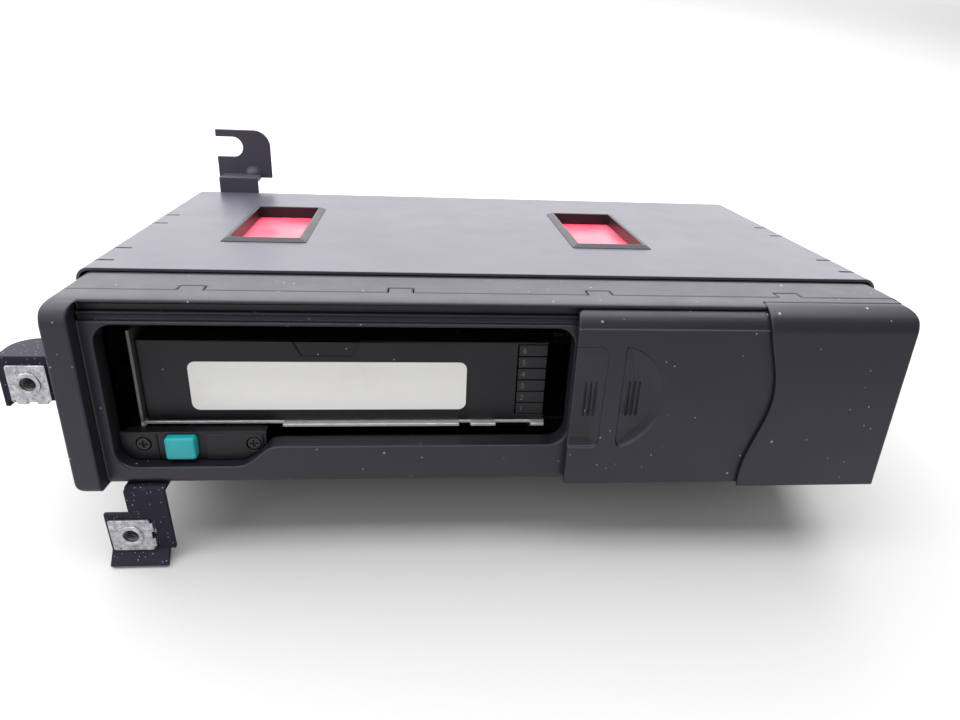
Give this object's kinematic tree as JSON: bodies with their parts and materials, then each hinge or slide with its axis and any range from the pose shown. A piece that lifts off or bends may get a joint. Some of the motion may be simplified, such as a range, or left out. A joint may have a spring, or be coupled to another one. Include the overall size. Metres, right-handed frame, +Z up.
{
  "type": "disc changer",
  "caption": "Flat changer box with a sliding front door, a removable magazine of disc trays, windows in its steel cover and mounting brackets with clip nuts.",
  "frame": {"origin": "middle of the steel pan's flat underside", "axes": "+X to the right seen from the front and along the longest side, +Y to the back, +Z up"},
  "size_m": [0.2936, 0.1733, 0.1215],
  "materials": {
    "charcoal_plastic": "fine grain",
    "black_plastic": "satin",
    "tray_plastic": "satin",
    "painted_steel": "satin dark coat",
    "bracket_steel": "satin dark coat",
    "zinc_steel": "bright zinc",
    "screw_steel": "black",
    "teal_plastic": "gloss",
    "red_plastic": "gloss",
    "label_paper": "matt",
    "damper_rubber": "matt",
    "circuit_board": "lacquered",
    "gear_plastic": "plain",
    "screw_brass": "turned",
    "lens_glass": "clear"
  },
  "bodies": {
    "housing": {"chassis_pan": "painted_steel", "top_cover": "painted_steel", "front_frame": "charcoal_plastic", "front_bezel": "charcoal_plastic", "end_fascia": "charcoal_plastic", "eject_panel": "black_plastic", "eject_screws": "screw_steel", "window_frame_left": "black_plastic", "window_frame_right": "black_plastic", "window_pan_left": "red_plastic", "window_pan_right": "red_plastic", "magazine_cradle": "zinc_steel", "mech_plate": "zinc_steel", "dampers": "damper_rubber", "guide_posts": "zinc_steel", "lift_motor": "zinc_steel", "main_board": "circuit_board", "rear_socket": "black_plastic", "left_bracket": "bracket_steel", "left_clip_nut": "zinc_steel", "leg_bracket": "bracket_steel", "leg_clip_nut": "zinc_steel", "rear_hook": "bracket_steel", "bracket_screws": "screw_steel", "cover_screws": "screw_steel"},
    "door": {"door_outer": "charcoal_plastic"},
    "door_leaf": {"door_inner": "charcoal_plastic"},
    "button": {"eject_button": "teal_plastic"},
    "latch": {"magazine_latch": "zinc_steel"},
    "magazine": {"magazine_shell": "black_plastic", "magazine_label": "label_paper"},
    "tray_1": {"tray_1": "tray_plastic"},
    "tray_2": {"tray_2": "tray_plastic"},
    "tray_3": {"tray_3": "tray_plastic"},
    "tray_4": {"tray_4": "tray_plastic"},
    "tray_5": {"tray_5": "tray_plastic"},
    "tray_6": {"tray_6": "tray_plastic"},
    "deck": {"lift_deck": "zinc_steel", "spindle_motor": "zinc_steel", "sled_rods": "zinc_steel", "feed_motor": "zinc_steel"},
    "turntable": {"turntable": "black_plastic"},
    "sled": {"pickup_sled": "tray_plastic", "pickup_lens": "lens_glass"},
    "screw": {"lead_screw": "screw_brass"},
    "clamp": {"clamp_carriage": "zinc_steel"},
    "clamper": {"clamper": "black_plastic"},
    "slide": {"lift_slide": "zinc_steel"},
    "pinion": {"lift_pinion": "gear_plastic"}
  },
  "joints": [
    {"name": "door_slide", "type": "slide", "parent": "housing", "child": "door", "axis": [1, 0, 0], "range_m": [-0.142, 0]},
    {"name": "door_leaf_slide", "type": "slide", "parent": "housing", "child": "door_leaf", "axis": [1, 0, 0], "range_m": [-0.0393, 0]},
    {"name": "eject_press", "type": "slide", "parent": "housing", "child": "button", "axis": [0, 1, 0], "range_m": [0, 0.0025], "stiffness_N_per_m": 600, "springref_m": -0.0005},
    {"name": "latch_turn", "type": "hinge", "parent": "housing", "child": "latch", "pos_m": [-0.084, -0.0689, 0.0113], "axis": [0, 0, 1], "range_deg": [-9.2, 0]},
    {"name": "magazine_eject", "type": "slide", "parent": "housing", "child": "magazine", "axis": [0, -1, 0], "range_m": [0, 0.16]},
    {"name": "tray_1_slide", "type": "slide", "parent": "magazine", "child": "tray_1", "axis": [1, 0, 0], "range_m": [0, 0.1]},
    {"name": "tray_2_slide", "type": "slide", "parent": "magazine", "child": "tray_2", "axis": [1, 0, 0], "range_m": [0, 0.1]},
    {"name": "tray_3_slide", "type": "slide", "parent": "magazine", "child": "tray_3", "axis": [1, 0, 0], "range_m": [0, 0.1]},
    {"name": "tray_4_slide", "type": "slide", "parent": "magazine", "child": "tray_4", "axis": [1, 0, 0], "range_m": [0, 0.1]},
    {"name": "tray_5_slide", "type": "slide", "parent": "magazine", "child": "tray_5", "axis": [1, 0, 0], "range_m": [0, 0.1]},
    {"name": "tray_6_slide", "type": "slide", "parent": "magazine", "child": "tray_6", "axis": [1, 0, 0], "range_m": [0, 0.1]},
    {"name": "deck_lift", "type": "slide", "parent": "housing", "child": "deck", "axis": [0, 0, 1], "range_m": [0, 0.0295]},
    {"name": "turntable_spin", "type": "hinge", "parent": "deck", "child": "turntable", "pos_m": [0.0528, -0.0109, 0.0094], "axis": [0, 0, 1], "continuous": true},
    {"name": "sled_move", "type": "slide", "parent": "deck", "child": "sled", "axis": [1, 0, 0], "range_m": [0, 0.034]},
    {"name": "lead_screw_spin", "type": "hinge", "parent": "deck", "child": "screw", "pos_m": [0.09, 0.0086, 0.0134], "axis": [1, 0, 0], "continuous": true},
    {"name": "clamp_drop", "type": "slide", "parent": "housing", "child": "clamp", "axis": [0, 0, 1], "range_m": [-0.0255, 0]},
    {"name": "clamper_spin", "type": "hinge", "parent": "clamp", "child": "clamper", "pos_m": [0.0528, -0.0109, 0.0489], "axis": [0, 0, 1], "continuous": true},
    {"name": "lift_slide_move", "type": "slide", "parent": "housing", "child": "slide", "axis": [0, 1, 0], "range_m": [0, 0.0414]},
    {"name": "lift_pinion_spin", "type": "hinge", "parent": "housing", "child": "pinion", "pos_m": [0.123, 0.0061, 0.05], "axis": [1, 0, 0], "continuous": true}
  ],
  "couplings": [
    {"joint": "door_leaf_slide", "follows": "door_slide", "ratio": 0.27606},
    {"joint": "latch_turn", "follows": "eject_press", "rad_per_m": -62.5},
    {"joint": "lead_screw_spin", "follows": "sled_move", "rad_per_m": 2094.4},
    {"joint": "clamper_spin", "follows": "turntable_spin", "ratio": 1},
    {"joint": "lift_slide_move", "follows": "deck_lift", "ratio": 1.4},
    {"joint": "lift_pinion_spin", "follows": "deck_lift", "rad_per_m": 291.67}
  ]
}
